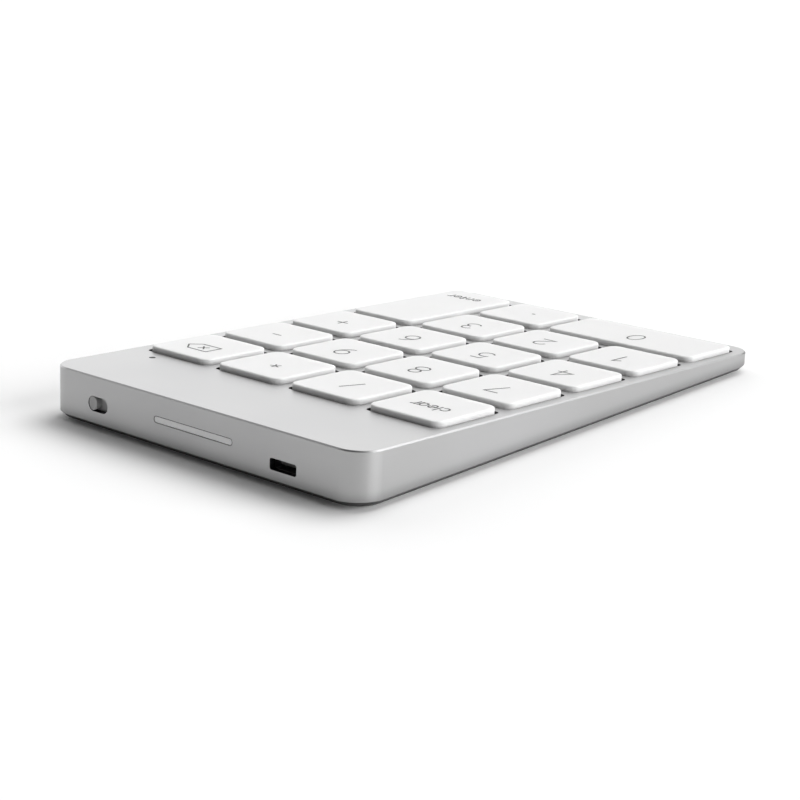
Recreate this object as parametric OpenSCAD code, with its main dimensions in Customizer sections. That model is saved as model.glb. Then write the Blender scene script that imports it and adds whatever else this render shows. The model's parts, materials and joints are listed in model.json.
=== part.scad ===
// Slim wedge-shaped numeric keypad with eighteen scissor keys.
// Millimetres, +Z up. The origin is on the table, under the middle of the case.
// +Y runs to the rear edge with the charge port, +X to the user's right.
// Parts of the key deck are drawn in the deck's own frame: its origin is the middle of
// the deck's top face, and the whole frame is tilted by deck_tilt about the X axis.

/* [Case] */
// Width of the case, left to right
case_w = 79; // [74:0.5:90]
// Length of the case along the deck, front to rear
case_l = 117.8; // [112:0.2:130]
// Plan radius of the case corners
case_r = 5; // [3:0.5:9]
// Height of the deck's middle above the case's flat underside
deck_rise = 6.45; // [6:0.05:9]
// Slope of the key deck
deck_tilt = 3.01; // [2:0.01:4]
// Thickness of the side walls
wall = 1.2; // [1:0.1:1.6]
// Thickness of the deck over the rear bay
deck_t = 1.2; // [1:0.1:1.5]
// Thickness of the deck round the keys
web_t = 1.6; // [1.5:0.1:2]
// Bevel along the top edge
top_bevel = 0.25; // [0.1:0.05:0.5]
// Bevel along the bottom edge
bottom_bevel = 0.8; // [0.3:0.1:1]
// Shift that puts the origin under the middle of the case
centre_y = -0.24; // [-0.5:0.01:0.5]

/* [Base] */
// Thickness of the bottom cover
cover_t = 0.8; // [0.7:0.1:1]
// Gap round the bottom cover
cover_gap = 0.12; // [0.05:0.01:0.3]
// Height of the feet below the case
foot_h = 0.65; // [0.4:0.05:1.5]
// Radius of a foot
foot_r = 4.5; // [3:0.5:6]
// Sideways distance of the feet from the middle
foot_x = 29; // [20:1:33]
// Lengthwise distance of the feet from the middle
foot_y = 48; // [40:1:52]

/* [Keys] */
// Distance from one key to the next
pitch = 19; // [18:0.05:19.1]
// Width of a single key
key_w = 16.3; // [15:0.1:17]
// Corner radius of a key seen from above
key_r = 2; // [1.2:0.1:3]
// Corner radius of the deck's key openings
opening_r = 1; // [0.5:0.1:1.5]
// Height of the key tops above the deck
key_top = 1.05; // [0.8:0.05:2]
// Rounding along the top edge of a key
key_edge = 0.3; // [0.1:0.05:0.5]
// Thickness of a key's top wall
key_top_t = 0.65; // [0.5:0.05:0.8]
// Depth of a key's skirt below the deck's top face
key_skirt = 0.4; // [0.3:0.05:0.5]
// Gap between a key and the deck
key_gap = 0.2; // [0.2:0.01:0.5]
// Distance a key travels when pressed
key_travel = 1; // [0.6:0.05:1.05]
// Sideways place of the left key column's middle
keys_x = -28.9; // [-30:0.1:-28]
// Lengthwise place of the rear key row's middle, along the deck
keys_y = 29.7; // [28:0.1:31]

/* [Key mechanism] */
// Depth of the steel key plate's top face below the deck's top face
plate_n = 1.6; // [1.6:0.05:2]
// Thickness of the key plate
plate_t = 0.3; // [0.2:0.05:0.4]
// Thickness of the switch membrane
sheet_t = 0.25; // [0.15:0.05:0.3]
// Length of a scissor frame, front to rear
scissor_l = 8.9; // [7:0.1:10]
// Width of the outer scissor frame
scissor_w = 12; // [10:0.1:13]
// Thickness and width of a scissor frame's bars
scissor_t = 0.5; // [0.3:0.05:0.6]
// Radius of the stabiliser wire
wire_r = 0.3; // [0.2:0.05:0.35]
// Length of a stabiliser arm
arm_l = 6; // [5:0.1:7]

/* [Rear wall] */
// Sideways place of the charge port
port_x = -22.1; // [-28:0.1:-15]
// Depth of the charge port's middle below the deck's top face
port_n = 6; // [5.9:0.05:6.1]
// Width of the charge port's opening in the rear wall
port_w = 6.2; // [5:0.1:8]
// Height of the charge port's opening in the rear wall
port_h = 2.05; // [1.9:0.05:2.1]
// Sideways place of the switch slot
slot_x = 25.3; // [20:0.1:28]
// Length of the switch slot
slot_l = 5.4; // [5:0.1:6]
// Height of the switch slot
slot_h = 2.8; // [2.4:0.1:3]
// Depth of the switch slot's middle below the deck's top face
slot_n = 5.15; // [5:0.05:5.3]
// Length of the antenna window
antenna_l = 19.9; // [15:0.1:24]
// Height of the antenna window
antenna_h = 1.2; // [1:0.1:1.6]
// Depth of the antenna window's middle below the deck's top face
antenna_n = 4.5; // [4.2:0.05:4.6]

/* [Rear bay] */
// Sideways place of the status lamp
lamp_x = 31; // [30:0.1:31.5]
// Lengthwise place of the status lamp
lamp_y = 41.3; // [41:0.1:43]
// Radius of the lamp hole in the deck
lamp_r = 0.6; // [0.4:0.05:0.8]
// Depth of the circuit board's top face below the deck's top face
board_n = 7.15; // [7.14:0.01:7.2]
// Thickness of the circuit board
board_t = 0.5; // [0.4:0.05:0.6]
// Length of the battery, left to right
battery_l = 34; // [25:1:36]
// Width of the battery, front to rear
battery_w = 13.4; // [10:0.1:13.5]
// Thickness of the battery
battery_t = 3; // [2:0.1:3.2]

/* [Hidden] */
$fn = 64;
eps = 0.01;
gap = 0.02;
deck_z = foot_h + deck_rise;
inner_w = case_w - 2 * wall;
inner_l = case_l - 2 * wall;
inner_r = case_r - wall;
rear_in = inner_l / 2;
rear_out = case_l / 2;
bay_y = keys_y + key_w / 2 + 1.3;
under_n = key_top - key_top_t;
plate_x = inner_w / 2 - 0.4;
plate_y0 = keys_y - 4 * pitch - key_w / 2 - 0.4;
plate_y1 = bay_y - 0.25;
sheet_n = plate_n + plate_t + gap;
bottom_n = deck_rise / cos(deck_tilt);
hinge_n = -plate_n + wire_r + 0.1;
bar_n = under_n - wire_r - 0.12;
arm_rise = asin((bar_n - hinge_n) / arm_l);
arm_run = arm_l * cos(arm_rise);
bar_off = 5.9;
wire_x = 13.5;
wire_end = 1.4;
ear_x = 14.4;
ear_t = 0.7;
ear_l = 1.5;
ear_top = -0.66;
clip_x = 10;
clip_w = 1.6;
post_w = 0.7;
post_l = 1.6;
post_low = -0.15;
cap_wall = 0.8;
scissor_bar = 0.8;
hook_w = 1.4;
hook_l = 0.6;
hook_h = 0.65;
dome_hole_r = 3;
dome_foot_r = 2.7;
dome_top_r = 1.4;
screw_r = 0.56;
screw_hole_r = 0.6;
front_screw_y = -rear_out + 2.6;
rear_screw_x = 35;
rear_screw_y = 54.6;
board_screw_x = 14.7;
board_screw_y = 55.5;
knob_w = 2.1;
knob_h = 2.5;
port_back = rear_out - 6.2;
port_t = 0.3;
tongue_w = 4.4;
tongue_t = 0.6;
switch_y = 53.6;
switch_l = 8.6;
slider_l = 9.2;
slider_h = 3.6;
battery_y = 40;
tape_t = 0.2;
lead_r = 0.32;
ribbon_t = 0.12;
ribbon_w = 8;
module_y = 51.5;
led_l = 1.6;
board_x0 = -37;
white = [0.93, 0.93, 0.92];
silver = [0.78, 0.79, 0.8];

// Column, row, width and length of every key, in key pitches.
KEYS = [
  [0, 0, 1, 1], [1, 0, 1, 1], [2, 0, 1, 1], [3, 0, 1, 1],
  [0, 1, 1, 1], [1, 1, 1, 1], [2, 1, 1, 1], [3, 1, 1, 1],
  [0, 2, 1, 1], [1, 2, 1, 1], [2, 2, 1, 1], [3, 2, 1, 1],
  [0, 3, 1, 1], [1, 3, 1, 1], [2, 3, 1, 1], [3, 3.5, 1, 2],
  [0.5, 4, 2, 1], [2, 4, 1, 1]];

function col_x(col) = keys_x + col * pitch;
function row_y(row) = keys_y - row * pitch;
function key_size(cells) = key_w + (cells - 1) * pitch;

// Places where the key plate is screwed up to the deck, between the keys.
PLATE_SCREWS = [for (col = [0.5, 1.5, 2.5]) for (row = [0.5, 1.5, 2.5]) [col_x(col), row_y(row)]];
FEET = [for (sx = [-1, 1]) for (sy = [-1, 1]) [sx * foot_x, sy * foot_y]];
COVER_SCREWS = [
  [-29, front_screw_y], [0, front_screw_y], [29, front_screw_y],
  [-rear_screw_x, rear_screw_y], [rear_screw_x, rear_screw_y]];

// Moves a shape from the deck's frame to its place on the table.
module on_deck() {
  translate([0, centre_y, deck_z])
    rotate([deck_tilt, 0, 0])
      children();
}

// Moves a shape to the middle of a key, in the deck's frame.
module at_key(col, row) {
  translate([col_x(col), row_y(row), 0])
    children();
}

// Turns a key's mechanism crosswise when the key is longer than it is wide.
module along_key(long) {
  rotate([0, 0, long > 1 ? -90 : 0])
    children();
}

// Shapes drawn flat and then stood up facing the rear: x stays, y becomes height.
module facing_rear(y0, y1) {
  translate([0, y1, 0])
    rotate([90, 0, 0])
      linear_extrude(height = y1 - y0)
        children();
}

module round_rect(w, l, r) {
  square([w, l - 2 * r], center = true);
  square([w - 2 * r, l], center = true);
  for (sx = [-1, 1])
    for (sy = [-1, 1])
      translate([sx * (w / 2 - r), sy * (l / 2 - r)])
        circle(r = r);
}

module block(w, l, r, low, high) {
  translate([0, 0, low])
    linear_extrude(height = high - low)
      round_rect(w, l, r);
}

// Rounded rectangle that narrows evenly by the same amount as its height.
module bevel_layer(w, l, r, h) {
  for (sx = [-1, 1])
    for (sy = [-1, 1])
      translate([sx * (w / 2 - r), sy * (l / 2 - r), 0])
        cylinder(r1 = r, r2 = r - h, h = h);
  translate([-(w / 2 - r), 0, 0])
    rotate([90, 0, 90])
      linear_extrude(height = w - 2 * r)
        polygon([[-l / 2, 0], [l / 2, 0], [l / 2 - h, h], [-l / 2 + h, h]]);
  translate([0, l / 2 - r, 0])
    rotate([90, 0, 0])
      linear_extrude(height = l - 2 * r)
        polygon([[-w / 2, 0], [w / 2, 0], [w / 2 - h, h], [-w / 2 + h, h]]);
}

// Half of the outline of a block whose top edge is rounded.
module soft_profile(half, high, e) {
  square([half, high - e]);
  square([half - e, high]);
  translate([half - e, high - e])
    circle(r = e);
}

// Rounded block with a rounded top edge.
module soft_block(w, l, r, low, high, e) {
  h = high - low;
  translate([0, 0, low]) {
    for (sx = [-1, 1])
      for (sy = [-1, 1])
        translate([sx * (w / 2 - r), sy * (l / 2 - r), 0])
          rotate_extrude()
            intersection() {
              soft_profile(r, h, e);
              square([r, h]);
            }
    for (side = [0, 1])
      mirror([0, side, 0])
        translate([-(w / 2 - r), 0, 0])
          rotate([90, 0, 90])
            linear_extrude(height = w - 2 * r)
              soft_profile(l / 2, h, e);
    for (side = [0, 1])
      mirror([side, 0, 0])
        translate([0, l / 2 - r, 0])
          rotate([90, 0, 0])
            linear_extrude(height = l - 2 * r)
              soft_profile(w / 2, h, e);
  }
}

module rod(from, to, r) {
  d = to - from;
  len = norm(d);
  translate(from)
    rotate([0, acos(d[2] / len), atan2(d[1], d[0])])
      cylinder(r = r, h = len);
}

module ball(at, r) {
  translate(at)
    sphere(r = r);
}

// ---- Case ----

module key_openings() {
  for (k = KEYS)
    at_key(k[0], k[1])
      block(key_size(k[2]) + 2 * key_gap, key_size(k[3]) + 2 * key_gap, opening_r, -3, 1);
}

module rear_wall_openings() {
  y0 = rear_in - 1;
  y1 = rear_out + 1;
  translate([port_x, 0, -port_n])
    facing_rear(y0, y1)
      round_rect(port_w, port_h, 0.45);
  translate([slot_x, 0, -slot_n])
    facing_rear(y0, y1)
      round_rect(slot_l, slot_h, slot_h / 2 - eps);
  translate([0, 0, -antenna_n])
    facing_rear(y0, y1)
      round_rect(antenna_l + 0.1, antenna_h + 0.1, antenna_h / 2 + 0.04);
}

module case_shell() {
  difference() {
    intersection() {
      on_deck() {
        block(case_w, case_l, case_r, -13, -top_bevel);
        translate([0, 0, -top_bevel])
          bevel_layer(case_w, case_l, case_r, top_bevel);
      }
      translate([0, centre_y + bottom_n * sin(deck_tilt), foot_h]) {
        translate([0, 0, 1.5])
          mirror([0, 0, 1])
            bevel_layer(case_w + 3 - 2 * bottom_bevel, case_l + 3 - 2 * bottom_bevel, case_r + 1, 1.5);
        translate([0, 0, 11.5])
          cube([case_w + 20, case_l + 20, 20], center = true);
      }
    }
    on_deck() {
      block(inner_w, inner_l, inner_r, -14, -web_t);
      intersection() {
        block(inner_w, inner_l, inner_r, -14, -deck_t);
        translate([-50, bay_y, -20])
          cube([100, 40, 30]);
      }
    }
  }
}

module case_bosses() {
  for (p = COVER_SCREWS)
    translate([p[0], p[1] + centre_y, foot_h + cover_t + 0.05])
      cylinder(r = p[1] > 0 ? 1.6 : 1.2, h = deck_rise + p[1] * sin(deck_tilt) - cover_t - 0.8);
  on_deck()
    for (sx = [-1, 1])
      translate([sx * board_screw_x, board_screw_y, -board_n + gap])
        cylinder(r = 1.5, h = board_n - gap - 0.8);
}

module case_screw_holes() {
  for (p = COVER_SCREWS)
    translate([p[0], p[1] + centre_y, 0])
      cylinder(r = screw_hole_r, h = p[1] > 0 ? 5.2 : 3.1);
  on_deck() {
    for (sx = [-1, 1])
      translate([sx * board_screw_x, board_screw_y, -10])
        cylinder(r = screw_hole_r, h = 6.2);
    for (p = PLATE_SCREWS)
      translate([p[0], p[1], -3])
        cylinder(r = screw_hole_r, h = 2.4);
  }
}

module top_case() {
  color(silver)
    difference() {
      union() {
        case_shell();
        case_bosses();
      }
      on_deck() {
        key_openings();
        rear_wall_openings();
        translate([lamp_x, lamp_y, -5])
          cylinder(r = lamp_r + 0.03, h = 6);
      }
      case_screw_holes();
    }
}

module bottom_cover() {
  color([0.82, 0.82, 0.82])
    difference() {
      intersection() {
        on_deck()
          block(inner_w - 2 * cover_gap, inner_l - 2 * cover_gap, inner_r - cover_gap, -14, 0);
        translate([-50, -70, foot_h])
          cube([100, 140, cover_t]);
      }
      for (p = FEET)
        translate([p[0], p[1] + centre_y, 0])
          cylinder(r = foot_r + 0.1, h = foot_h + 0.2);
      for (p = COVER_SCREWS)
        translate([p[0], p[1] + centre_y, 0]) {
          cylinder(r = 0.7, h = 3);
          cylinder(r = 1.15, h = foot_h + 0.45);
        }
    }
}

module rubber_feet() {
  color([0.25, 0.25, 0.26])
    for (p = FEET)
      translate([p[0], p[1] + centre_y, 0])
        rotate_extrude()
          polygon([[0, 0], [foot_r - 0.2, 0], [foot_r, 0.2], [foot_r, foot_h + 0.2 - gap],
            [0, foot_h + 0.2 - gap]]);
}

// A small pan-head screw standing on its head, with a hexagonal recess.
module screw(head_r, head_h, shank) {
  difference() {
    union() {
      cylinder(r = head_r, h = head_h);
      cylinder(r = screw_r, h = head_h + shank);
    }
    translate([0, 0, -1])
      cylinder(r = 0.45, h = 1 + head_h * 0.6, $fn = 6);
  }
}

module cover_screws() {
  color([0.6, 0.6, 0.62])
    for (p = COVER_SCREWS)
      translate([p[0], p[1] + centre_y, foot_h + 0.08])
        screw(1.05, 0.35, p[1] > 0 ? 3.6 : 1.6);
}

// ---- Key plate, membrane and domes ----

// Rounded sheet under all the keys, with a round hole at each plate screw.
module under_keys(low, high, hole_r) {
  difference() {
    translate([0, (plate_y0 + plate_y1) / 2, 0])
      block(2 * plate_x, plate_y1 - plate_y0, 1.5, low, high);
    for (p = PLATE_SCREWS)
      translate([p[0], p[1], low - 1])
        cylinder(r = hole_r, h = high - low + 2);
  }
}

// Four low hooks that hold the lower ends of one key's scissor frames.
module scissor_hooks() {
  for (sx = [-1, 1]) {
    translate([sx * 3.5 - hook_w / 2, -scissor_l / 2 - 0.75, -plate_n - eps])
      cube([hook_w, hook_l, hook_h]);
    translate([sx * 2.5 - hook_w / 2, scissor_l / 2 + 0.15, -plate_n - eps])
      cube([hook_w, hook_l, hook_h]);
  }
}

// Two upright ears that hold the turned ends of a stabiliser wire.
module bar_ears() {
  for (sx = [-1, 1])
    difference() {
      translate([sx * ear_x - ear_t / 2, -ear_l / 2, -plate_n - eps])
        cube([ear_t, ear_l, ear_top + plate_n + eps]);
      translate([sx * ear_x - 1, 0, hinge_n])
        rotate([0, 90, 0])
          cylinder(r = wire_r + 0.05, h = 2);
    }
}

module key_plate() {
  color([0.55, 0.56, 0.58])
    on_deck() {
      difference() {
        under_keys(-plate_n - plate_t, -plate_n - eps, 0.75);
        for (k = KEYS)
          at_key(k[0], k[1])
            translate([0, 0, -4])
              cylinder(r = dome_hole_r, h = 4);
      }
      for (k = KEYS)
        at_key(k[0], k[1])
          along_key(k[3]) {
            scissor_hooks();
            if (k[2] > 1 || k[3] > 1)
              translate([0, bar_off - arm_run, 0])
                bar_ears();
          }
    }
}

module plate_screws() {
  color([0.35, 0.35, 0.37])
    on_deck()
      for (p = PLATE_SCREWS)
        translate([p[0], p[1], -plate_n - plate_t - gap - 0.4])
          screw(1.15, 0.4, 1.2);
}

module membrane_sheet() {
  color([0.75, 0.82, 0.84])
    on_deck()
      under_keys(-sheet_n - sheet_t, -sheet_n, 1.4);
}

module dome() {
  top = under_n - gap;
  low = -sheet_n + gap;
  rotate_extrude()
    polygon([[dome_foot_r - 0.5, low], [dome_foot_r, low], [dome_foot_r, low + 0.3],
      [dome_top_r + 0.1, top - 0.35], [dome_top_r, top], [0, top], [0, top - 0.4],
      [dome_top_r - 0.4, top - 0.5], [dome_foot_r - 0.5, low + 0.25]]);
}

module rubber_domes() {
  color([0.9, 0.9, 0.86])
    on_deck()
      for (k = KEYS)
        at_key(k[0], k[1])
          dome();
}

module membrane_ribbon() {
  top = -sheet_n - 0.06;
  low = -board_n + 0.06;
  y0 = plate_y1 + gap;
  color([0.75, 0.6, 0.3])
    on_deck()
      translate([board_x0 + 1, 0, 0])
        rotate([90, 0, 90])
          linear_extrude(height = ribbon_w)
            polygon([[y0, top - ribbon_t], [y0 + 0.9, top - ribbon_t], [y0 + 0.9, low], [y0 + 6, low],
              [y0 + 6, low + ribbon_t], [y0 + 0.9 + ribbon_t, low + ribbon_t],
              [y0 + 0.9 + ribbon_t, top], [y0, top]]);
}

// ---- Rear bay ----

module circuit_board() {
  top = -board_n;
  color([0.1, 0.38, 0.25])
    on_deck()
      difference() {
        union() {
          translate([board_x0, bay_y + 0.5, top - board_t])
            cube([lamp_x + 1.8 - board_x0, rear_in - 0.4 - bay_y - 0.5, board_t]);
          translate([2, bay_y + 2, top - eps])
            cube([5, 5, 0.9]);
          translate([12, bay_y + 3, top - eps])
            cube([3.5, 3.5, 0.8]);
          translate([-28, bay_y + 9, top - eps])
            cube([2.4, 1.4, 0.9]);
          translate([-36.4, bay_y + 5.4, top - eps])
            cube([8.8, 2.2, 0.05]);
        }
        for (sx = [-1, 1])
          translate([sx * board_screw_x, board_screw_y, top - 2])
            cylinder(r = 0.75, h = 4);
        translate([-rear_screw_x - 2.4, rear_screw_y - 2.4, top - 2])
          cube([5, 6, 4]);
      }
}

module board_screws() {
  color([0.35, 0.35, 0.37])
    on_deck()
      for (sx = [-1, 1])
        translate([sx * board_screw_x, board_screw_y, -board_n - board_t - gap - 0.4])
          screw(1.2, 0.4, 3.2);
}

module wireless_module() {
  color([0.72, 0.72, 0.7])
    on_deck()
      translate([0, module_y, -board_n + gap])
        linear_extrude(height = 1.5)
          square([12, 9], center = true);
}

module antenna_window() {
  color([0.78, 0.78, 0.77])
    on_deck()
      translate([0, 0, -antenna_n]) {
        facing_rear(rear_in - gap - 0.01, rear_out - 0.05)
          round_rect(antenna_l, antenna_h, antenna_h / 2 - eps);
        facing_rear(rear_in - gap - 0.5, rear_in - gap)
          round_rect(antenna_l + 1.2, antenna_h + 1, 0.5);
      }
}

module charge_port_shell() {
  color([0.6, 0.6, 0.62])
    on_deck()
      translate([port_x, 0, -port_n])
        difference() {
          facing_rear(port_back, rear_in - 0.05)
            round_rect(port_w + 2 * port_t, port_h + 0.2, 0.6);
          facing_rear(port_back + port_t, rear_out)
            round_rect(port_w + 0.25, port_h - 0.12, 0.45);
        }
}

module charge_port_tongue() {
  color([0.12, 0.12, 0.13])
    on_deck()
      translate([port_x, 0, -port_n + 0.15]) {
        facing_rear(port_back + port_t + gap, rear_in - 0.5)
          square([tongue_w, tongue_t], center = true);
        facing_rear(port_back + port_t + gap, port_back + 0.9)
          translate([0, -0.15])
            square([port_w - 0.7, port_h - 0.6], center = true);
      }
}

module power_switch_body() {
  color([0.2, 0.2, 0.22])
    on_deck()
      difference() {
        translate([slot_x - switch_l / 2, switch_y, -board_n + gap])
          cube([switch_l, 3.4, board_n - gap - 3.6]);
        translate([slot_x - 2.6, switch_y + 1.8, -slot_n - 0.65])
          cube([5.2, 3, 1.3]);
      }
}

// Drawn at its place of rest, at the user's right end of the slot.
module power_switch_knob() {
  x = slot_x + slot_l / 2 - knob_w / 2 - 0.1;
  color(white)
    on_deck()
      translate([x, 0, -slot_n]) {
        facing_rear(rear_in - 0.2, rear_out - 0.12)
          round_rect(knob_w, knob_h, knob_w / 2 - eps);
        facing_rear(rear_in - 0.55, rear_in - 0.15)
          round_rect(slider_l, slider_h, 0.5);
        facing_rear(switch_y + 2, rear_in - 0.5)
          square([1, 1], center = true);
      }
}

module status_led() {
  color([0.95, 0.95, 0.85])
    on_deck()
      translate([lamp_x - led_l / 2, lamp_y - led_l / 4, -board_n + gap])
        cube([led_l, led_l / 2, 0.6]);
}

module status_light_guide() {
  color([0.9, 0.95, 0.95])
    on_deck()
      translate([lamp_x, lamp_y, 0]) {
        translate([0, 0, -deck_t - 0.1])
          cylinder(r = lamp_r, h = deck_t + 0.1 - 0.05);
        translate([0, 0, -board_n + 0.68])
          cylinder(r = 1.1, h = board_n - 0.68 - deck_t - gap);
      }
}

module battery() {
  color([0.75, 0.76, 0.78])
    on_deck()
      translate([-battery_l / 2, battery_y, -deck_t - tape_t - battery_t])
        rotate([90, 0, 90])
          linear_extrude(height = battery_l)
            translate([battery_w / 2, battery_t / 2])
              round_rect(battery_w, battery_t, 0.8);
}

module battery_tape() {
  color([0.3, 0.3, 0.3])
    on_deck()
      translate([-battery_l / 2 + 2, battery_y + 2, -deck_t - tape_t + gap])
        cube([battery_l - 4, battery_w - 4, tape_t - 2 * gap]);
}

module battery_leads() {
  color([0.7, 0.15, 0.12])
    on_deck()
      for (side = [0, 1])
        translate([battery_l / 2 + gap, battery_y + 4 + side * 1.4, 0]) {
          rod([0, 0, -3], [2.2, 0, -3], lead_r);
          ball([2.2, 0, -3], lead_r);
          rod([2.2, 0, -3], [2.2, 0, -board_n + 0.05], lead_r);
        }
}

// ---- Stabiliser wires ----

// Cranked wire with its long bar along X under the key and its two ends turned outward.
module stabiliser_wire() {
  for (sx = [-1, 1]) {
    rod([sx * wire_x, 0, hinge_n], [sx * wire_x, arm_run, bar_n], wire_r);
    ball([sx * wire_x, 0, hinge_n], wire_r + 0.02);
    ball([sx * wire_x, arm_run, bar_n], wire_r + 0.02);
    translate([sx > 0 ? wire_x : -wire_x - wire_end, 0, hinge_n])
      rotate([0, 90, 0])
        cylinder(r = wire_r, h = wire_end);
  }
  translate([-wire_x, arm_run, bar_n])
    rotate([0, 90, 0])
      cylinder(r = wire_r, h = 2 * wire_x);
}

module stabiliser_bar(col, row, long) {
  color([0.7, 0.7, 0.72])
    on_deck()
      at_key(col, row)
        along_key(long)
          translate([0, bar_off - arm_run, 0])
            stabiliser_wire();
}

module zero_stabiliser_bar() { stabiliser_bar(0.5, 4, 1); }
module enter_stabiliser_bar() { stabiliser_bar(3, 3.5, 2); }

// ---- Keycaps ----

// Slotted clips under a long key that hold the stabiliser's bar.
module bar_clips() {
  for (sx = [-1, 1])
    difference() {
      translate([sx * clip_x - clip_w / 2, bar_off - 0.75, bar_n - wire_r - 0.2])
        cube([clip_w, clip_w, under_n - bar_n + wire_r + 0.2 + eps]);
      translate([sx * clip_x - 2, bar_off - wire_r - 0.12, bar_n - wire_r - 0.07])
        cube([4, 2 * wire_r + 0.36, 2 * wire_r + 0.14]);
    }
}

// Four short posts under a key that hold the upper ends of its scissor frames.
module scissor_posts() {
  for (sx = [-1, 1]) {
    translate([sx * (scissor_w / 2 + 0.85) - post_w / 2, 3.2, post_low])
      cube([post_w, post_l, under_n - post_low + eps]);
    translate([sx * (scissor_w / 2 - 0.45) - post_w / 2, -3.2 - post_l, post_low])
      cube([post_w, post_l, under_n - post_low + eps]);
  }
}

module keycap(col, row, wide, long) {
  w = key_size(wide);
  l = key_size(long);
  color(white)
    on_deck()
      at_key(col, row) {
        difference() {
          soft_block(w, l, key_r, -key_skirt, key_top, key_edge);
          block(w - 2 * cap_wall, l - 2 * cap_wall, key_r - cap_wall, -2, under_n);
        }
        along_key(long) {
          scissor_posts();
          if (wide > 1 || long > 1)
            bar_clips();
        }
      }
}

module key_clear() { keycap(0, 0, 1, 1); }
module key_divide() { keycap(1, 0, 1, 1); }
module key_multiply() { keycap(2, 0, 1, 1); }
module key_delete() { keycap(3, 0, 1, 1); }
module key_7() { keycap(0, 1, 1, 1); }
module key_8() { keycap(1, 1, 1, 1); }
module key_9() { keycap(2, 1, 1, 1); }
module key_minus() { keycap(3, 1, 1, 1); }
module key_4() { keycap(0, 2, 1, 1); }
module key_5() { keycap(1, 2, 1, 1); }
module key_6() { keycap(2, 2, 1, 1); }
module key_plus() { keycap(3, 2, 1, 1); }
module key_1() { keycap(0, 3, 1, 1); }
module key_2() { keycap(1, 3, 1, 1); }
module key_3() { keycap(2, 3, 1, 1); }
module key_enter() { keycap(3, 3.5, 1, 2); }
module key_0() { keycap(0.5, 4, 2, 1); }
module key_decimal() { keycap(2, 4, 1, 1); }

// ---- Scissor frames ----

// Rectangular frame whose rear end is lifted by the given angle.
module tilted_frame(w, l, lift) {
  rotate([lift, 0, 0])
    translate([0, 0, -scissor_t / 2])
      linear_extrude(height = scissor_t)
        difference() {
          square([w, l], center = true);
          square([w - 2 * scissor_bar, l - 2 * scissor_bar], center = true);
        }
}

// Two crossed frames, the narrow one inside the wide one.
module scissor(col, row, long = 1) {
  middle = (under_n - plate_n) / 2;
  lift = asin((under_n + plate_n - scissor_t - 0.24) / scissor_l);
  color([0.88, 0.88, 0.86])
    on_deck()
      at_key(col, row)
        along_key(long)
          translate([0, 0, middle]) {
            tilted_frame(scissor_w, scissor_l, lift);
            tilted_frame(scissor_w - 2, scissor_l, -lift);
          }
}

module scissor_clear() { scissor(0, 0); }
module scissor_divide() { scissor(1, 0); }
module scissor_multiply() { scissor(2, 0); }
module scissor_delete() { scissor(3, 0); }
module scissor_7() { scissor(0, 1); }
module scissor_8() { scissor(1, 1); }
module scissor_9() { scissor(2, 1); }
module scissor_minus() { scissor(3, 1); }
module scissor_4() { scissor(0, 2); }
module scissor_5() { scissor(1, 2); }
module scissor_6() { scissor(2, 2); }
module scissor_plus() { scissor(3, 2); }
module scissor_1() { scissor(0, 3); }
module scissor_2() { scissor(1, 3); }
module scissor_3() { scissor(2, 3); }
module scissor_enter() { scissor(3, 3.5, 2); }
module scissor_0() { scissor(0.5, 4); }
module scissor_decimal() { scissor(2, 4); }

top_case();
bottom_cover();
rubber_feet();
cover_screws();
key_plate();
plate_screws();
membrane_sheet();
rubber_domes();
membrane_ribbon();
circuit_board();
board_screws();
wireless_module();
antenna_window();
charge_port_shell();
charge_port_tongue();
power_switch_body();
power_switch_knob();
status_led();
status_light_guide();
battery();
battery_tape();
battery_leads();
zero_stabiliser_bar();
enter_stabiliser_bar();
key_clear();
key_divide();
key_multiply();
key_delete();
key_7();
key_8();
key_9();
key_minus();
key_4();
key_5();
key_6();
key_plus();
key_1();
key_2();
key_3();
key_enter();
key_0();
key_decimal();
scissor_clear();
scissor_divide();
scissor_multiply();
scissor_delete();
scissor_7();
scissor_8();
scissor_9();
scissor_minus();
scissor_4();
scissor_5();
scissor_6();
scissor_plus();
scissor_1();
scissor_2();
scissor_3();
scissor_enter();
scissor_0();
scissor_decimal();
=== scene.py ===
"""Looks of the slim numeric keypad: case, keys, legends, rear wall and underside."""

import json
import math

import bmesh
import bpy
from mathutils import Matrix, Vector


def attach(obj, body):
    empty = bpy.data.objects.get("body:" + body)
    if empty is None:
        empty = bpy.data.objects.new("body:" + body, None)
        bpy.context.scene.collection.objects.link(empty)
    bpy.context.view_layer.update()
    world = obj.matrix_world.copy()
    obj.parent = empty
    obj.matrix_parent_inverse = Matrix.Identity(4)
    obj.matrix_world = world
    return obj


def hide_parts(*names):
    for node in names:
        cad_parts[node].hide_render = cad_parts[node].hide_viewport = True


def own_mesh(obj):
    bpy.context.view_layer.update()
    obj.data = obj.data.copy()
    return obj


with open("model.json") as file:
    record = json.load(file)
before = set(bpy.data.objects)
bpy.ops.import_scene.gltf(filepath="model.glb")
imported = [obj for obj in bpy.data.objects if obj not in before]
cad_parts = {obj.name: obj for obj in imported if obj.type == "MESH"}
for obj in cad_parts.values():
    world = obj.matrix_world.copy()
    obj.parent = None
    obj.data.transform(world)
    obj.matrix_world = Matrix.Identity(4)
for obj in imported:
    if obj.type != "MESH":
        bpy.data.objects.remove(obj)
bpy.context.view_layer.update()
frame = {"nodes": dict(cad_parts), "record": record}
MM = 0.001

JOINTS = {joint["name"]: joint for joint in frame["record"]["behaviour"]["joints"]}
UP = Vector(JOINTS["press_clear"]["axis"]).normalized()
RIGHT = Vector((1, 0, 0))
REAR = UP.cross(RIGHT).normalized()

SINGLE_KEYS = ("7", "8", "9", "4", "5", "6", "1", "2", "3", "0")
ALL_KEYS = [name[6:] for name in JOINTS if name.startswith("press_")]


# ---------------------------------------------------------------- deck places

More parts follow.
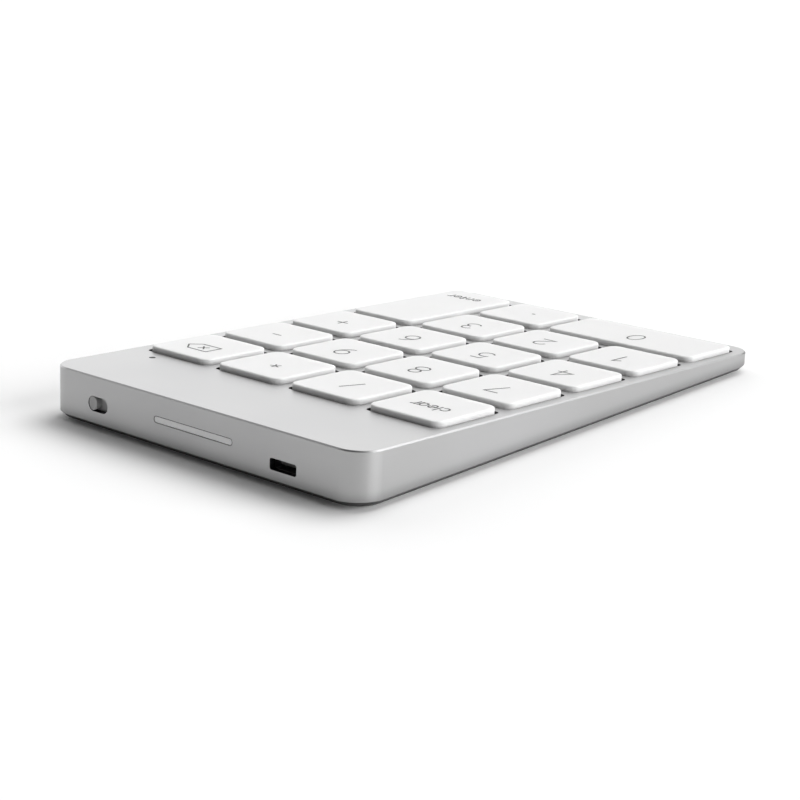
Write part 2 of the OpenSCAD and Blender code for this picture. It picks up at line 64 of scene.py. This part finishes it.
def deck_matrix(origin):
    """Places deck coordinates (right, rear, up) at a point on the deck."""
    axes = Matrix((RIGHT, REAR, UP)).transposed().to_4x4()
    return Matrix.Translation(origin) @ axes


def deck_extent(node, origin):
    """Lowest and highest corner of a CAD node in deck coordinates round an origin."""
    back = deck_matrix(origin).inverted()
    points = [back @ v.co for v in frame["nodes"][node].data.vertices]
    low = Vector([min(p[i] for p in points) for i in range(3)])
    high = Vector([max(p[i] for p in points) for i in range(3)])
    return low, high


# ------------------------------------------------------------------ materials

# Share of the noise's range over which colour and gloss run from one end to the other.
NOISE_LOW = 0.3
NOISE_HIGH = 0.7


def new_material(name, color, roughness, metallic=0.0):
    material = bpy.data.materials.new(name)
    material.use_nodes = True
    shader = material.node_tree.nodes["Principled BSDF"]
    shader.inputs["Base Color"].default_value = (*color, 1)
    shader.inputs["Roughness"].default_value = roughness
    shader.inputs["Metallic"].default_value = metallic
    return material, shader


def add_noise(material, scale, detail=3.0, stretch=(1, 1, 1)):
    """Noise over the object's own coordinates; scale counts grains per metre."""
    nodes = material.node_tree.nodes
    links = material.node_tree.links
    place = nodes.new("ShaderNodeTexCoord")
    mapping = nodes.new("ShaderNodeMapping")
    mapping.inputs["Scale"].default_value = stretch
    noise = nodes.new("ShaderNodeTexNoise")
    noise.inputs["Scale"].default_value = scale
    noise.inputs["Detail"].default_value = detail
    links.new(place.outputs["Object"], mapping.inputs["Vector"])
    links.new(mapping.outputs["Vector"], noise.inputs["Vector"])
    return noise.outputs["Fac"]


def vary_color(material, shader, source, dark, light):
    nodes = material.node_tree.nodes
    links = material.node_tree.links
    ramp = nodes.new("ShaderNodeValToRGB")
    ramp.color_ramp.elements[0].position = NOISE_LOW
    ramp.color_ramp.elements[0].color = (*dark, 1)
    ramp.color_ramp.elements[1].position = NOISE_HIGH
    ramp.color_ramp.elements[1].color = (*light, 1)
    links.new(source, ramp.inputs["Fac"])
    links.new(ramp.outputs["Color"], shader.inputs["Base Color"])


def vary_roughness(material, shader, source, low, high):
    nodes = material.node_tree.nodes
    links = material.node_tree.links
    spread = nodes.new("ShaderNodeMapRange")
    spread.inputs["From Min"].default_value = NOISE_LOW
    spread.inputs["From Max"].default_value = NOISE_HIGH
    spread.inputs["To Min"].default_value = low
    spread.inputs["To Max"].default_value = high
    links.new(source, spread.inputs["Value"])
    links.new(spread.outputs["Result"], shader.inputs["Roughness"])


def add_bump(material, shader, source, depth, strength=1.0):
    nodes = material.node_tree.nodes
    links = material.node_tree.links
    bump = nodes.new("ShaderNodeBump")
    bump.inputs["Strength"].default_value = strength
    bump.inputs["Distance"].default_value = depth
    links.new(source, bump.inputs["Height"])
    links.new(bump.outputs["Normal"], shader.inputs["Normal"])


def textured(name, dark, light, rough, metallic=0.0, grain=3000, depth=0.00001, patches=60,
             stretch=(1, 1, 1)):
    """A material whose colour, gloss and fine relief all vary over the surface."""
    material, shader = new_material(name, light, rough, metallic)
    broad = add_noise(material, patches, 2.0)
    fine = add_noise(material, grain, 4.0, stretch)
    vary_color(material, shader, broad, dark, light)
    vary_roughness(material, shader, broad, rough * 0.9, rough * 1.1)
    add_bump(material, shader, fine, depth)
    return material


def make_translucent(material, share, depth):
    """Lets light spread inside white plastic, over a depth in metres."""
    shader = material.node_tree.nodes["Principled BSDF"]
    shader.inputs["Subsurface Weight"].default_value = share
    shader.inputs["Subsurface Radius"].default_value = (1, 1, 1)
    shader.inputs["Subsurface Scale"].default_value = depth


# Openness below which the painted shade in a crevice is darkest, and above which the colour is left
# unshaded.
CLOSED_IN = 0.45
OPEN = 0.9


def paint_crevice_shade(material, reach, darkest):
    """Paints shade into the colour where nearby parts close a surface in, in place of shadow; reach
    is in metres.
    """
    nodes = material.node_tree.nodes
    links = material.node_tree.links
    shader = nodes["Principled BSDF"]
    color = shader.inputs["Base Color"].links[0].from_socket
    openness = nodes.new("ShaderNodeAmbientOcclusion")
    openness.inputs["Distance"].default_value = reach
    spread = nodes.new("ShaderNodeMapRange")
    spread.inputs["From Min"].default_value = CLOSED_IN
    spread.inputs["From Max"].default_value = OPEN
    spread.inputs["To Min"].default_value = darkest
    scaled = nodes.new("ShaderNodeVectorMath")
    scaled.operation = "SCALE"
    links.new(openness.outputs["AO"], spread.inputs["Value"])
    links.new(color, scaled.inputs[0])
    links.new(spread.outputs["Result"], scaled.inputs["Scale"])
    links.new(scaled.outputs["Vector"], shader.inputs["Base Color"])


def shade(value, tint=(1, 1, 1)):
    return tuple(value * part for part in tint)


aluminium = textured("satin_aluminium", shade(0.43), shade(0.45, (1, 1, 1.01)), 0.42, 1.0,
                     grain=9000, depth=0.000006, patches=25)
# Painted shade: the aluminium's colour is darkened between the keys and in other tight gaps, in
# place of their shadow.
paint_crevice_shade(aluminium, 5 * MM, 0.2)
key_plastic = textured("key_plastic", shade(0.78), shade(0.8, (1, 1, 0.995)), 0.5, 0.0,
                       grain=6000, depth=0.000004, patches=90)
make_translucent(key_plastic, 0.7, 2 * MM)
legend_ink = textured("legend_ink", shade(0.07), shade(0.09), 0.6, 0.0, grain=8000, patches=400)
cover_plastic = textured("cover_plastic", shade(0.55), shade(0.6), 0.55, 0.0, grain=2500,
                         depth=0.00002)
foot_rubber = textured("foot_rubber", shade(0.045), shade(0.06), 0.8, 0.0, grain=2000,
                       depth=0.00003)
screw_steel = textured("screw_steel", shade(0.4), shade(0.5), 0.3, 1.0, grain=5000,
                       stretch=(1, 1, 0.1))
plate_steel = textured("plate_steel", shade(0.02), shade(0.03), 0.5, 0.0, grain=3000,
                       stretch=(8, 0.4, 1))
film = textured("membrane_film", (0.5, 0.6, 0.62), (0.58, 0.67, 0.7), 0.3, 0.0, grain=900)
silicone = textured("dome_silicone", (0.72, 0.72, 0.66), (0.8, 0.8, 0.74), 0.55, 0.0)
ribbon_film = textured("ribbon_film", (0.4, 0.2, 0.05), (0.5, 0.27, 0.08), 0.35, 0.0)
board_mask = textured("board_mask", (0.01, 0.1, 0.045), (0.015, 0.14, 0.06), 0.32, 0.0,
                      grain=1500)
shield_can = textured("shield_can", shade(0.55), shade(0.62), 0.3, 1.0, grain=2500)
antenna_plastic = textured("antenna_plastic", shade(0.86), shade(0.9), 0.6, 0.0, grain=7000,
                           depth=0.000008)
port_steel = textured("port_steel", shade(0.5), shade(0.58), 0.4, 1.0, grain=4000)
black_plastic = textured("black_plastic", shade(0.025), shade(0.035), 0.45, 0.0)
knob_plastic = textured("knob_plastic", shade(0.42), shade(0.46), 0.5, 0.0, grain=6000)
lamp_body = textured("lamp_body", (0.75, 0.7, 0.45), (0.82, 0.78, 0.55), 0.4, 0.0)
lamp_guide = textured("lamp_guide", shade(0.01), shade(0.015), 0.6, 0.0)
battery_foil = textured("battery_foil", shade(0.6), shade(0.7), 0.28, 1.0, grain=700,
                        depth=0.00005)
foam_tape = textured("foam_tape", shade(0.06), shade(0.09), 0.9, 0.0, grain=2500,
                     depth=0.00004)
lead_red = textured("lead_red", (0.42, 0.02, 0.015), (0.5, 0.03, 0.02), 0.4, 0.0)
scissor_plastic = textured("scissor_plastic", shade(0.7), shade(0.76), 0.5, 0.0)
spring_wire = textured("spring_wire", shade(0.55), shade(0.65), 0.2, 1.0, grain=3000)

NODE_MATERIALS = {
    "top_case": aluminium,
    "bottom_cover": cover_plastic,
    "rubber_feet": foot_rubber,
    "cover_screws": screw_steel,
    "key_plate": plate_steel,
    "plate_screws": screw_steel,
    "membrane_sheet": film,
    "rubber_domes": silicone,
    "membrane_ribbon": ribbon_film,
    "circuit_board": board_mask,
    "board_screws": screw_steel,
    "wireless_module": shield_can,
    "antenna_window": antenna_plastic,
    "charge_port_shell": port_steel,
    "charge_port_tongue": black_plastic,
    "power_switch_body": black_plastic,
    "power_switch_knob": knob_plastic,
    "status_led": lamp_body,
    "status_light_guide": lamp_guide,
    "battery": battery_foil,
    "battery_tape": foam_tape,
    "battery_leads": lead_red,
    "zero_stabiliser_bar": spring_wire,
    "enter_stabiliser_bar": spring_wire,
}


def finish_nodes():
    """Gives every CAD node its material."""
    for name, node in frame["nodes"].items():
        material = NODE_MATERIALS.get(name)
        if material is None:
            material = scissor_plastic if name.startswith("scissor_") else key_plastic
        node.data.materials.clear()
        node.data.materials.append(material)


def mesh_object(name, bm, material, matrix):
    mesh = bpy.data.meshes.new(name)
    bmesh.ops.recalc_face_normals(bm, faces=bm.faces)
    bm.to_mesh(mesh)
    bm.free()
    piece = bpy.data.objects.new(name, mesh)
    bpy.context.collection.objects.link(piece)
    piece.matrix_world = matrix
    mesh.materials.append(material)
    return piece


# -------------------------------------------------------------- copied scissors and domes

DOME_REACH = 3.2 * MM
WHOLE_NODE = 1.0


def node_part(node, name, origin, reach, material):
    """Copy of the part of a CAD node that lies within reach of a point on the deck."""
    back = deck_matrix(origin).inverted()
    bm = bmesh.new()
    bm.from_mesh(frame["nodes"][node].data)
    outside = [v for v in bm.verts if (back @ v.co).xy.length > reach]
    bmesh.ops.delete(bm, geom=outside, context="VERTS")
    piece = mesh_object(name, bm, material, Matrix.Identity(4))
    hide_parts(node)
    return piece


def fold_with_key(piece):
    """Attaches a piece to the case and gives it a mesh of its own."""
    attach(piece, "case")
    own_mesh(piece)


def make_folding_parts(key):
    origin = Vector(JOINTS["press_" + key]["pos_m"])
    frames = node_part("scissor_" + key, "folding_scissor_" + key, origin, WHOLE_NODE,
                       scissor_plastic)
    fold_with_key(frames)
    dome = node_part("rubber_domes", "dome_" + key, origin, DOME_REACH, silicone)
    fold_with_key(dome)


# -------------------------------------------------------------------- legends

def arc(cx, cy, rx, ry, start, end):
    """Points along part of an ellipse; the angles are in degrees."""
    steps = max(4, round(abs(end - start) / 12))
    points = []
    for step in range(steps + 1):
        angle = math.radians(start + (end - start) * step / steps)
        points.append((cx + rx * math.cos(angle), cy + ry * math.sin(angle)))
    return points


def turned(strokes, width):
    """The same strokes turned upside down about the middle of a figure."""
    return [[(width - x, 1 - y) for x, y in stroke] for stroke in strokes]


SIX = [arc(0.28, 0.32, 0.27, 0.32, 0, 360),
       arc(0.56, 0.33, 0.55, 0.67, 104, 180)]

# Strokes of each figure. The figure is 1 high and stands on y = 0.
FIGURES = {
    "0": (0.58, [arc(0.29, 0.5, 0.28, 0.5, 0, 360)]),
    "1": (0.36, [[(0.02, 0.8), (0.26, 1.0), (0.26, 0.0)]]),
    "2": (0.56, [arc(0.28, 0.72, 0.25, 0.28, 165, -32) + [(0.02, 0.0), (0.55, 0.0)]]),
    "3": (0.54, [arc(0.25, 0.76, 0.22, 0.24, 155, -90) + arc(0.25, 0.26, 0.27, 0.26, 90, -155)]),
    "4": (0.6, [[(0.44, 0.0), (0.44, 1.0), (0.0, 0.28), (0.6, 0.28)]]),
    "5": (0.54, [[(0.49, 1.0), (0.12, 1.0), (0.07, 0.53)]
                 + arc(0.25, 0.32, 0.28, 0.32, 130, -145)]),
    "6": (0.56, SIX),
    "7": (0.54, [[(0.0, 1.0), (0.54, 1.0), (0.18, 0.0)]]),
    "8": (0.56, [arc(0.28, 0.76, 0.22, 0.24, 0, 360), arc(0.28, 0.26, 0.27, 0.26, 0, 360)]),
    "9": (0.56, turned(SIX, 0.56)),
}

# Strokes of the small letters. The tall letters are 1 high.
LETTERS = {
    "c": (0.5, [arc(0.29, 0.33, 0.29, 0.33, 50, 310)]),
    "l": (0.1, [[(0.05, 0.0), (0.05, 1.0)]]),
    "e": (0.58, [[(0.02, 0.35), (0.57, 0.35)] + arc(0.29, 0.33, 0.29, 0.33, 4, 315)]),
    "a": (0.54, [arc(0.27, 0.33, 0.27, 0.33, 0, 360), [(0.54, 0.66), (0.54, 0.0)]]),
    "r": (0.34, [[(0.05, 0.0), (0.05, 0.66)], arc(0.33, 0.36, 0.28, 0.3, 180, 85)]),
    "n": (0.5, [[(0.05, 0.0), (0.05, 0.66)], arc(0.27, 0.4, 0.22, 0.26, 180, 0) + [(0.49, 0.0)]]),
    "t": (0.32, [[(0.14, 0.88), (0.14, 0.12)] + arc(0.26, 0.12, 0.12, 0.12, 180, 270),
                 [(0.0, 0.64), (0.32, 0.64)]]),
}


def word(text, height, gap=0.2):
    """Strokes of a word in millimetres, centred on the origin."""
    strokes = []
    x = 0.0
    for letter in text:
        width, shapes = LETTERS[letter]
        for shape in shapes:
            strokes.append([(x + px, py) for px, py in shape])
        x += width + gap
    middle = (x - gap) / 2
    return [[((px - middle) * height, (py - 0.33) * height) for px, py in s] for s in strokes]


def figure(name, height):
    """Strokes of one figure in millimetres, centred on the origin."""
    width, shapes = FIGURES[name]
    wide = height * FIGURE_STRETCH
    return [[((x - width / 2) * wide, (y - 0.5) * height) for x, y in s] for s in shapes]


def star(radius, spokes=5):
    strokes = []
    for spoke in range(spokes):
        angle = math.radians(90 + 360 * spoke / spokes)
        strokes.append([(0, 0), (radius * math.cos(angle), radius * math.sin(angle))])
    return strokes


def delete_sign(width, height):
    """Five-sided tag that points right, with a small cross in it."""
    w, h, cross = width / 2, height / 2, height * 0.17
    cx = -w * 0.2
    outline = [(-w, h), (w * 0.45, h), (w, 0), (w * 0.45, -h), (-w, -h), (-w, h)]
    return [outline,
            [(cx - cross, -cross), (cx + cross, cross)],
            [(cx - cross, cross), (cx + cross, -cross)]]


FIGURE_H = 4.8
FIGURE_STRETCH = 1.12
WORD_H = 2.7
# Place of a sign's middle from its key's middle, to the right and to the rear.
SIGN_AT = (-0.5, 1.1)
LEGENDS = {
    "clear": (word("clear", WORD_H), (-0.35, 0.8)),
    "enter": (word("enter", WORD_H), (0.9, -11.6)),
    "divide": ([[(-0.85, -2.3), (0.85, 2.3)]], (-0.6, 0.7)),
    "multiply": (star(0.95), SIGN_AT),
    "minus": ([[(-1.0, 0), (1.0, 0)]], SIGN_AT),
    "plus": ([[(-1.25, 0), (1.25, 0)], [(0, -1.25), (0, 1.25)]], SIGN_AT),
    "decimal": ([[(-0.12, 0), (0.12, 0)]], (-0.9, -0.4)),
    "delete": (delete_sign(6.9, 4.1), (0.4, 1.5)),
}
for key_name in SINGLE_KEYS:
    LEGENDS[key_name] = (figure(key_name, FIGURE_H), (-0.25, 1.2))

# Width of the ink lines and of the decimal dot, and how far the ink stands above its key.
INK_W = 0.34
DOT_W = 0.5
INK_PROUD = 0.012
INK_SUNK = 0.02
# Keeps the outer corner of a sharp bend from running out to a spike.
SHARPEST_MITRE = 0.45


def ribbon_sides(path, closed, width):
    """Left and right edge point at each point of a line, with mitred bends and square ends."""
    count = len(path)
    sides = []
    for i, here in enumerate(path):
        before = path[i - 1] if (closed or i > 0) else None
        after = path[(i + 1) % count] if (closed or i < count - 1) else None
        into = (here - before).normalized() if before is not None else None
        out = (after - here).normalized() if after is not None else None
        into = into or out
        out = out or into
        normal = Vector((-(into.y + out.y), into.x + out.x)).normalized()
        square_on = max(SHARPEST_MITRE, normal.dot(Vector((-out.y, out.x))))
        overrun = 0.0
        if before is None:
            overrun = -width / 2
        if after is None:
            overrun = width / 2
        middle = here + out * overrun
        reach = normal * (width / 2 / square_on)
        sides.append((middle + reach, middle - reach))
    return sides


def stroke_ribbon(bm, points, width, low, high):
    """Flat-topped strip of ink along a line of points."""
    closed = (Vector(points[0]) - Vector(points[-1])).length < 1e-6
    path = [Vector(p) for p in (points[:-1] if closed else points)]
    loops = []
    for left, right in ribbon_sides(path, closed, width):
        loops.append([bm.verts.new((p.x * MM, p.y * MM, z * MM))
                      for p, z in ((left, high), (right, high), (right, low), (left, low))])
    last = len(path) if closed else len(path) - 1
    for i in range(last):
        a, b = loops[i], loops[(i + 1) % len(path)]
        for k in range(4):
            bm.faces.new((a[k], b[k], b[(k + 1) % 4], a[(k + 1) % 4]))
    if not closed:
        bm.faces.new(loops[0])
        bm.faces.new(loops[-1][::-1])


def make_legend(key):
    strokes, (dx, dy) = LEGENDS[key]
    origin = Vector(JOINTS["press_" + key]["pos_m"])
    top = deck_extent("key_" + key, origin)[1].z / MM
    bm = bmesh.new()
    width = DOT_W if key == "decimal" else INK_W
    for stroke in strokes:
        moved = [(x + dx, y + dy) for x, y in stroke]
        stroke_ribbon(bm, moved, width, top - INK_SUNK, top + INK_PROUD)
    legend = mesh_object("legend_" + key, bm, legend_ink, deck_matrix(origin))
    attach(legend, "key_%s_body" % key)


# ------------------------------------------------------------------ rear wall

def wall_matrix(origin):
    """Places wall coordinates (left, up, outward) at a point on the rear wall."""
    axes = Matrix((-RIGHT, UP, REAR)).transposed().to_4x4()
    return Matrix.Translation(origin) @ axes


# How far the antenna window's hidden flange reaches past the window, sideways and upward.
FLANGE_X = 0.6
FLANGE_Z = 0.5
SEAM_W = 0.12
SEAM_SUNK = 0.02
SEAM_PROUD = 0.055


def make_antenna_seam():
    """Dark joint line between the antenna window and the rear wall."""
    low, high = deck_extent("antenna_window", Vector((0, 0, 0)))
    half_w = (high.x - low.x) / 2 / MM - FLANGE_X
    half_h = (high.z - low.z) / 2 / MM - FLANGE_Z
    outer = Vector(((low.x + high.x) / 2, high.y, (low.z + high.z) / 2))
    straight = half_w - half_h
    outline = arc(straight, 0, half_h, half_h, -90, 90) + arc(-straight, 0, half_h, half_h, 90, 270)
    outline.append(outline[0])
    bm = bmesh.new()
    stroke_ribbon(bm, outline, SEAM_W, -SEAM_SUNK, SEAM_PROUD)
    seam = mesh_object("antenna_seam", bm, legend_ink, wall_matrix(deck_matrix((0, 0, 0)) @ outer))
    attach(seam, "case")


# --------------------------------------------------------------------- studio

CAMERA_HEADING = math.radians(138.265)
CAMERA_DOWN = math.radians(16.674)
CAMERA_ROLL = math.radians(0.376)
CAMERA_AIM = Vector((-12.293, 19.255, 5.0)) * MM
CAMERA_DISTANCE = 327.14 * MM
CAMERA_LENS = 80.62


def make_camera():
    """A long lens a little above the desk, behind the keypad's left rear corner."""
    heading, down, roll = CAMERA_HEADING, CAMERA_DOWN, CAMERA_ROLL
    look = Vector((math.sin(heading) * math.cos(down), math.cos(heading) * math.cos(down),
                   -math.sin(down)))
    level = look.cross(Vector((0, 0, 1))).normalized()
    lift = level.cross(look)
    across = level * math.cos(roll) + lift * math.sin(roll)
    above = lift * math.cos(roll) - level * math.sin(roll)
    data = bpy.data.cameras.new("camera")
    data.sensor_width = 36
    data.lens = CAMERA_LENS
    data.clip_start = 0.01
    camera = bpy.data.objects.new("camera", data)
    bpy.context.collection.objects.link(camera)
    turn = Matrix((across, above, -look)).transposed().to_4x4()
    camera.matrix_world = Matrix.Translation(CAMERA_AIM - look * CAMERA_DISTANCE) @ turn
    bpy.context.scene.camera = camera


def make_floor():
    bpy.ops.mesh.primitive_plane_add(size=8, location=(0, 0, 0))
    floor = bpy.context.object
    floor.name = "floor"
    material, shader = new_material("floor_white", shade(0.98), 0.9)
    shader.inputs["Specular IOR Level"].default_value = 0.1
    floor.data.materials.append(material)


# The studio has a bright side, and is dim elsewhere.
BRIGHT_SIDE = Vector((0.9, -0.42, 0.2)).normalized()
BRIGHT_SKY = 1.68
DIM_SKY = 0.1
# Closeness to the bright side, as a cosine, at which the sky starts and stops brightening.
SKY_EDGE = 0.5
SKY_CORE = 0.97
# A broad light overhead, and a soft low one from the user's left: name, the side it
# comes from, its strength, and its spread in degrees.
LIGHTS = (
    ("overhead_light", Vector((-0.1, -0.75, 1.0)), 1.85, 45),
    ("side_light", Vector((-0.95, -0.32, 0.22)), 3.6, 55),
)


def make_sky():
    world = bpy.data.worlds.new("studio")
    bpy.context.scene.world = world
    world.use_nodes = True
    nodes = world.node_tree.nodes
    links = world.node_tree.links
    place = nodes.new("ShaderNodeTexCoord")
    toward = nodes.new("ShaderNodeVectorMath")
    toward.operation = "DOT_PRODUCT"
    toward.inputs[1].default_value = BRIGHT_SIDE
    spread = nodes.new("ShaderNodeMapRange")
    spread.interpolation_type = "SMOOTHSTEP"
    spread.inputs["From Min"].default_value = SKY_EDGE
    spread.inputs["From Max"].default_value = SKY_CORE
    spread.inputs["To Min"].default_value = DIM_SKY
    spread.inputs["To Max"].default_value = BRIGHT_SKY
    links.new(place.outputs["Generated"], toward.inputs[0])
    links.new(toward.outputs["Value"], spread.inputs["Value"])
    links.new(spread.outputs["Result"], nodes["Background"].inputs["Strength"])
    nodes["Background"].inputs["Color"].default_value = (1, 1, 1, 1)


def make_lights():
    for name, source, power, spread in LIGHTS:
        data = bpy.data.lights.new(name, "SUN")
        data.energy = power
        data.angle = math.radians(spread)
        light = bpy.data.objects.new(name, data)
        bpy.context.collection.objects.link(light)
        light.rotation_euler = source.to_track_quat("Z", "Y").to_euler()


finish_nodes()
for key_name in ALL_KEYS:
    make_folding_parts(key_name)
    make_legend(key_name)
make_antenna_seam()
make_floor()
make_sky()
make_lights()
make_camera()
bpy.context.scene.view_settings.view_transform = "Standard"
